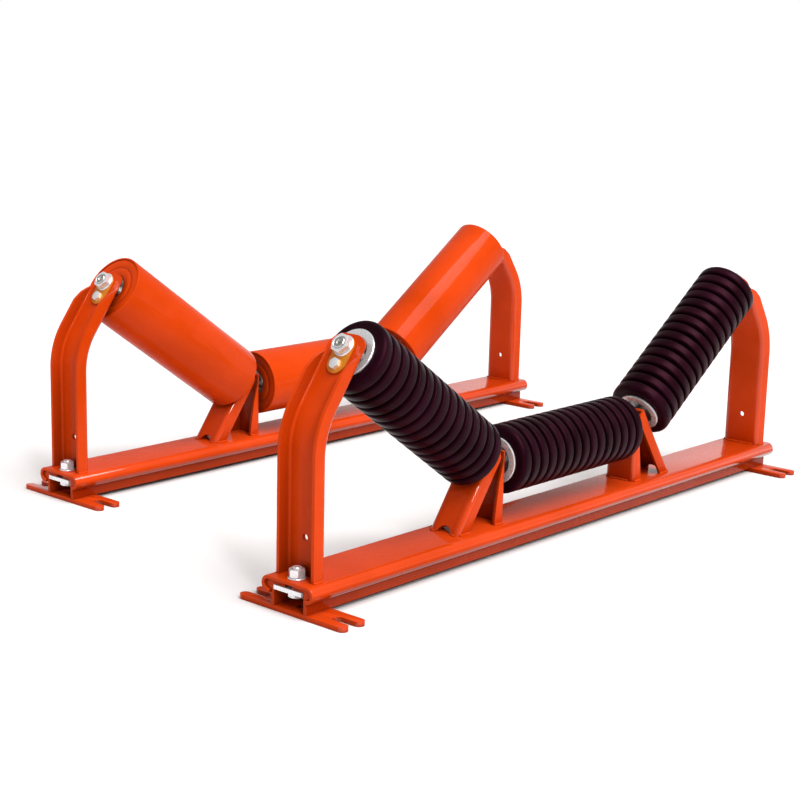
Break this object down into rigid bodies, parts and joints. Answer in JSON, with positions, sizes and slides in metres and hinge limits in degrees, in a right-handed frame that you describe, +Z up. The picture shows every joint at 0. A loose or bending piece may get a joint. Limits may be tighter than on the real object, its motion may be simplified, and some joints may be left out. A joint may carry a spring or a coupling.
{
  "type": "troughing idler set",
  "caption": "Slide-out trough idler frames on fixed rails, one with plain steel rolls and one with rubber disc impact rolls, for carrying a belt.",
  "frame": {"origin": "on the floor, midway between the two idlers and between their ends", "axes": "+X along each idler towards its right end, +Y along the belt from the rubber-roll idler to the steel-roll one, +Z up"},
  "size_m": [1.55, 1.007, 0.4532],
  "materials": {
    "frame_paint": "gloss",
    "roll_paint": "gloss",
    "zinc": "bright zinc plated",
    "keeper_zinc": "yellow passivated zinc",
    "steel": "turned and oiled",
    "bearing_steel": "ground",
    "rubber": "moulded, satin"
  },
  "bodies": {
    "rails": {"rail_plain": "frame_paint", "rail_impact": "frame_paint", "feet_plain": "frame_paint", "feet_impact": "frame_paint"},
    "frame_plain": {"base_plain": "frame_paint", "end_stand_left_plain": "frame_paint", "end_stand_right_plain": "frame_paint", "wing_legs_plain": "frame_paint", "centre_legs_plain": "frame_paint", "clamp_bolt_plain": "zinc", "clamp_nut_plain": "zinc", "clamp_plate_plain": "steel", "shafts_plain": "steel", "shaft_nuts_plain": "zinc", "keeper_plates_plain": "keeper_zinc", "keeper_bolts_plain": "zinc", "shaft_rings_plain": "bearing_steel"},
    "roll_plain_left": {"tube_left": "roll_paint", "housings_plain_left": "roll_paint", "outer_rings_plain_left": "bearing_steel"},
    "cage_plain_left": {"cage_plain_left": "bearing_steel"},
    "roll_plain_centre": {"tube_centre": "roll_paint", "housings_plain_centre": "roll_paint", "outer_rings_plain_centre": "bearing_steel"},
    "cage_plain_centre": {"cage_plain_centre": "bearing_steel"},
    "roll_plain_right": {"tube_right": "roll_paint", "housings_plain_right": "roll_paint", "outer_rings_plain_right": "bearing_steel"},
    "cage_plain_right": {"cage_plain_right": "bearing_steel"},
    "frame_impact": {"base_impact": "frame_paint", "end_stand_left_impact": "frame_paint", "end_stand_right_impact": "frame_paint", "wing_legs_impact": "frame_paint", "centre_legs_impact": "frame_paint", "clamp_bolt_impact": "zinc", "clamp_nut_impact": "zinc", "clamp_plate_impact": "steel", "shafts_impact": "steel", "shaft_nuts_impact": "zinc", "keeper_plates_impact": "keeper_zinc", "keeper_bolts_impact": "zinc", "shaft_rings_impact": "bearing_steel"},
    "roll_impact_left": {"discs_left": "rubber", "core_tube_left": "steel", "end_rings_left": "zinc", "housings_impact_left": "steel", "outer_rings_impact_left": "bearing_steel"},
    "cage_impact_left": {"cage_impact_left": "bearing_steel"},
    "roll_impact_centre": {"discs_centre": "rubber", "core_tube_centre": "steel", "end_rings_centre": "zinc", "housings_impact_centre": "steel", "outer_rings_impact_centre": "bearing_steel"},
    "cage_impact_centre": {"cage_impact_centre": "bearing_steel"},
    "roll_impact_right": {"discs_right": "rubber", "core_tube_right": "steel", "end_rings_right": "zinc", "housings_impact_right": "steel", "outer_rings_impact_right": "bearing_steel"},
    "cage_impact_right": {"cage_impact_right": "bearing_steel"}
  },
  "joints": [
    {"name": "slide_out_plain", "type": "slide", "parent": "rails", "child": "frame_plain", "axis": [-1, 0, 0], "range_m": [0, 0.6]},
    {"name": "spin_plain_left", "type": "hinge", "parent": "frame_plain", "child": "roll_plain_left", "pos_m": [-0.1785, 0.3875, 0.1808], "axis": [-0.8192, 0, 0.5736], "continuous": true},
    {"name": "cage_spin_plain_left", "type": "hinge", "parent": "frame_plain", "child": "cage_plain_left", "pos_m": [-0.1785, 0.3875, 0.1808], "axis": [-0.8192, 0, 0.5736], "continuous": true},
    {"name": "spin_plain_centre", "type": "hinge", "parent": "frame_plain", "child": "roll_plain_centre", "pos_m": [0.075, 0.3875, 0.1613], "axis": [1, 0, 0], "continuous": true},
    {"name": "cage_spin_plain_centre", "type": "hinge", "parent": "frame_plain", "child": "cage_plain_centre", "pos_m": [0.075, 0.3875, 0.1613], "axis": [1, 0, 0], "continuous": true},
    {"name": "spin_plain_right", "type": "hinge", "parent": "frame_plain", "child": "roll_plain_right", "pos_m": [0.3285, 0.3875, 0.1808], "axis": [0.8192, 0, 0.5736], "continuous": true},
    {"name": "cage_spin_plain_right", "type": "hinge", "parent": "frame_plain", "child": "cage_plain_right", "pos_m": [0.3285, 0.3875, 0.1808], "axis": [0.8192, 0, 0.5736], "continuous": true},
    {"name": "slide_out_impact", "type": "slide", "parent": "rails", "child": "frame_impact", "axis": [-1, 0, 0], "range_m": [0, 0.6]},
    {"name": "spin_impact_left", "type": "hinge", "parent": "frame_impact", "child": "roll_impact_left", "pos_m": [-0.3285, -0.3875, 0.1808], "axis": [-0.8192, 0, 0.5736], "continuous": true},
    {"name": "cage_spin_impact_left", "type": "hinge", "parent": "frame_impact", "child": "cage_impact_left", "pos_m": [-0.3285, -0.3875, 0.1808], "axis": [-0.8192, 0, 0.5736], "continuous": true},
    {"name": "spin_impact_centre", "type": "hinge", "parent": "frame_impact", "child": "roll_impact_centre", "pos_m": [-0.075, -0.3875, 0.1613], "axis": [1, 0, 0], "continuous": true},
    {"name": "cage_spin_impact_centre", "type": "hinge", "parent": "frame_impact", "child": "cage_impact_centre", "pos_m": [-0.075, -0.3875, 0.1613], "axis": [1, 0, 0], "continuous": true},
    {"name": "spin_impact_right", "type": "hinge", "parent": "frame_impact", "child": "roll_impact_right", "pos_m": [0.1785, -0.3875, 0.1808], "axis": [0.8192, 0, 0.5736], "continuous": true},
    {"name": "cage_spin_impact_right", "type": "hinge", "parent": "frame_impact", "child": "cage_impact_right", "pos_m": [0.1785, -0.3875, 0.1808], "axis": [0.8192, 0, 0.5736], "continuous": true}
  ],
  "couplings": [
    {"joint": "cage_spin_plain_left", "follows": "spin_plain_left", "ratio": 0.60312},
    {"joint": "cage_spin_plain_centre", "follows": "spin_plain_centre", "ratio": 0.60312},
    {"joint": "cage_spin_plain_right", "follows": "spin_plain_right", "ratio": 0.60312},
    {"joint": "cage_spin_impact_left", "follows": "spin_impact_left", "ratio": 0.60312},
    {"joint": "cage_spin_impact_centre", "follows": "spin_impact_centre", "ratio": 0.60312},
    {"joint": "cage_spin_impact_right", "follows": "spin_impact_right", "ratio": 0.60312}
  ]
}
